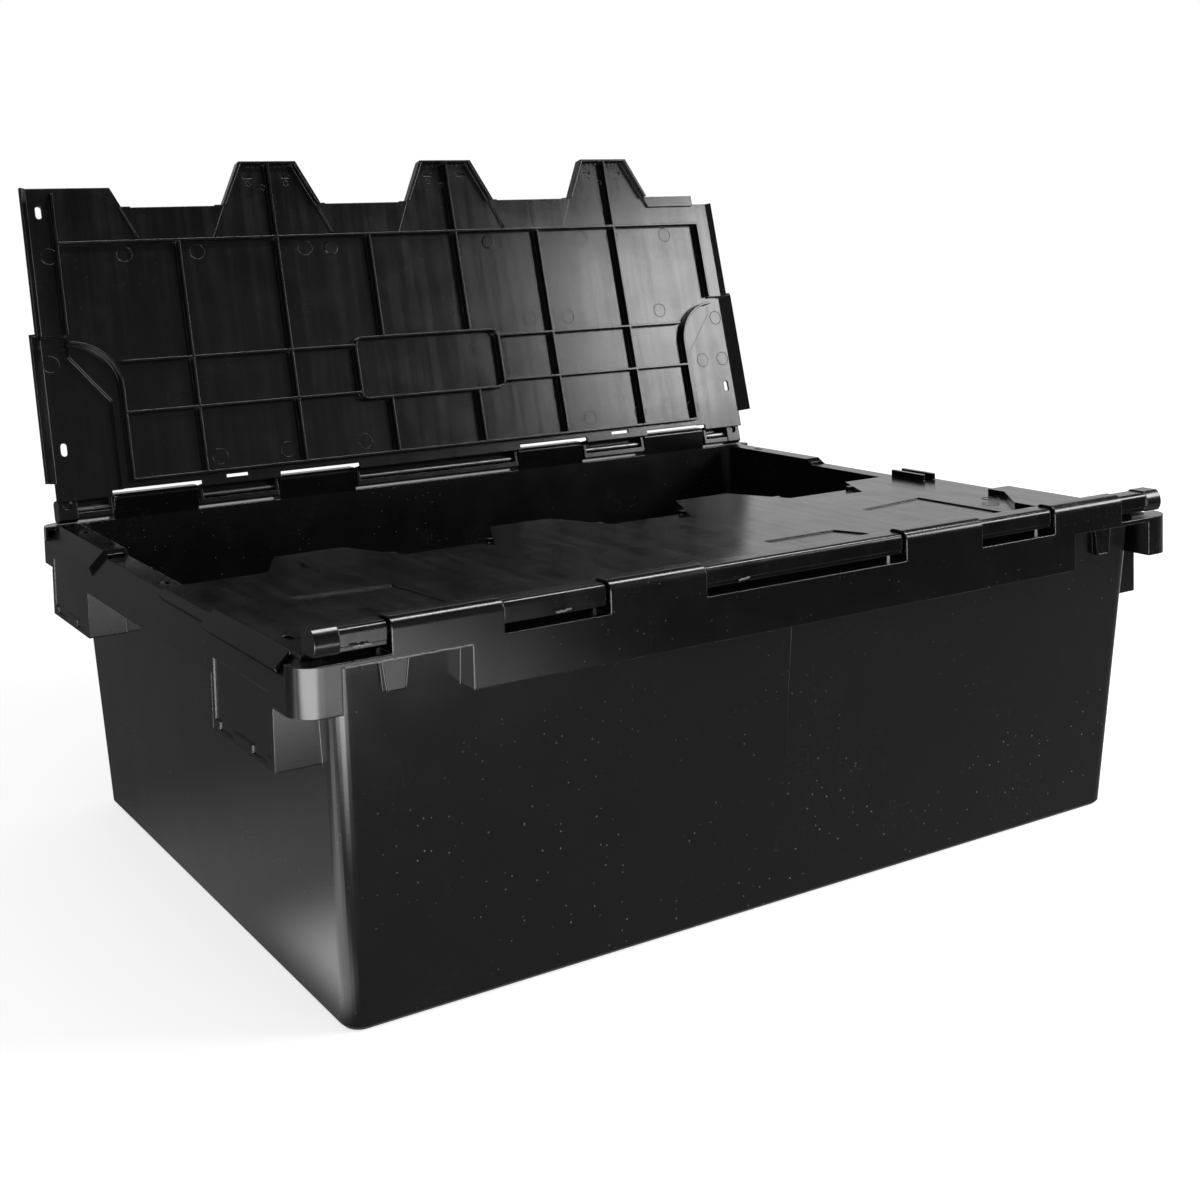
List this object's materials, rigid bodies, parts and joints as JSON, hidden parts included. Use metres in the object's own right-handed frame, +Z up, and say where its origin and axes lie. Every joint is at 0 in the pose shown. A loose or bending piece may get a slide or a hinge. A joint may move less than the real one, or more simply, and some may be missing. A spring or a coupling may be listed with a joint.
{
  "type": "attached lid container",
  "caption": "Tapered plastic tote box with two hinged interlocking lid halves, one shut and one standing open, hinge blades, corner blocks and hand grips at both ends.",
  "frame": {"origin": "middle of the underside of the tub, on the surface it stands on", "axes": "+X along the 800 mm side, +Y towards the side with the open lid, +Z up"},
  "size_m": [0.8, 0.6527, 0.5831],
  "materials": {
    "tub_plastic": "satin, lightly scuffed moulded polypropylene",
    "lid_plastic": "satin moulded polypropylene",
    "rod_steel": "drawn wire"
  },
  "bodies": {
    "tub": {"tub": "tub_plastic", "front_hinge_rod": "rod_steel", "rear_hinge_rod": "rod_steel"},
    "front_lid": {"front_lid": "lid_plastic"},
    "rear_lid": {"rear_lid": "lid_plastic"}
  },
  "joints": [
    {"name": "front_hinge", "type": "hinge", "parent": "tub", "child": "front_lid", "pos_m": [0, -0.287, 0.266], "axis": [1, 0, 0], "range_deg": [0, 246]},
    {"name": "rear_hinge", "type": "hinge", "parent": "tub", "child": "rear_lid", "pos_m": [0, 0.287, 0.266], "axis": [-1, 0, 0], "range_deg": [-101.8, 141.7]}
  ]
}
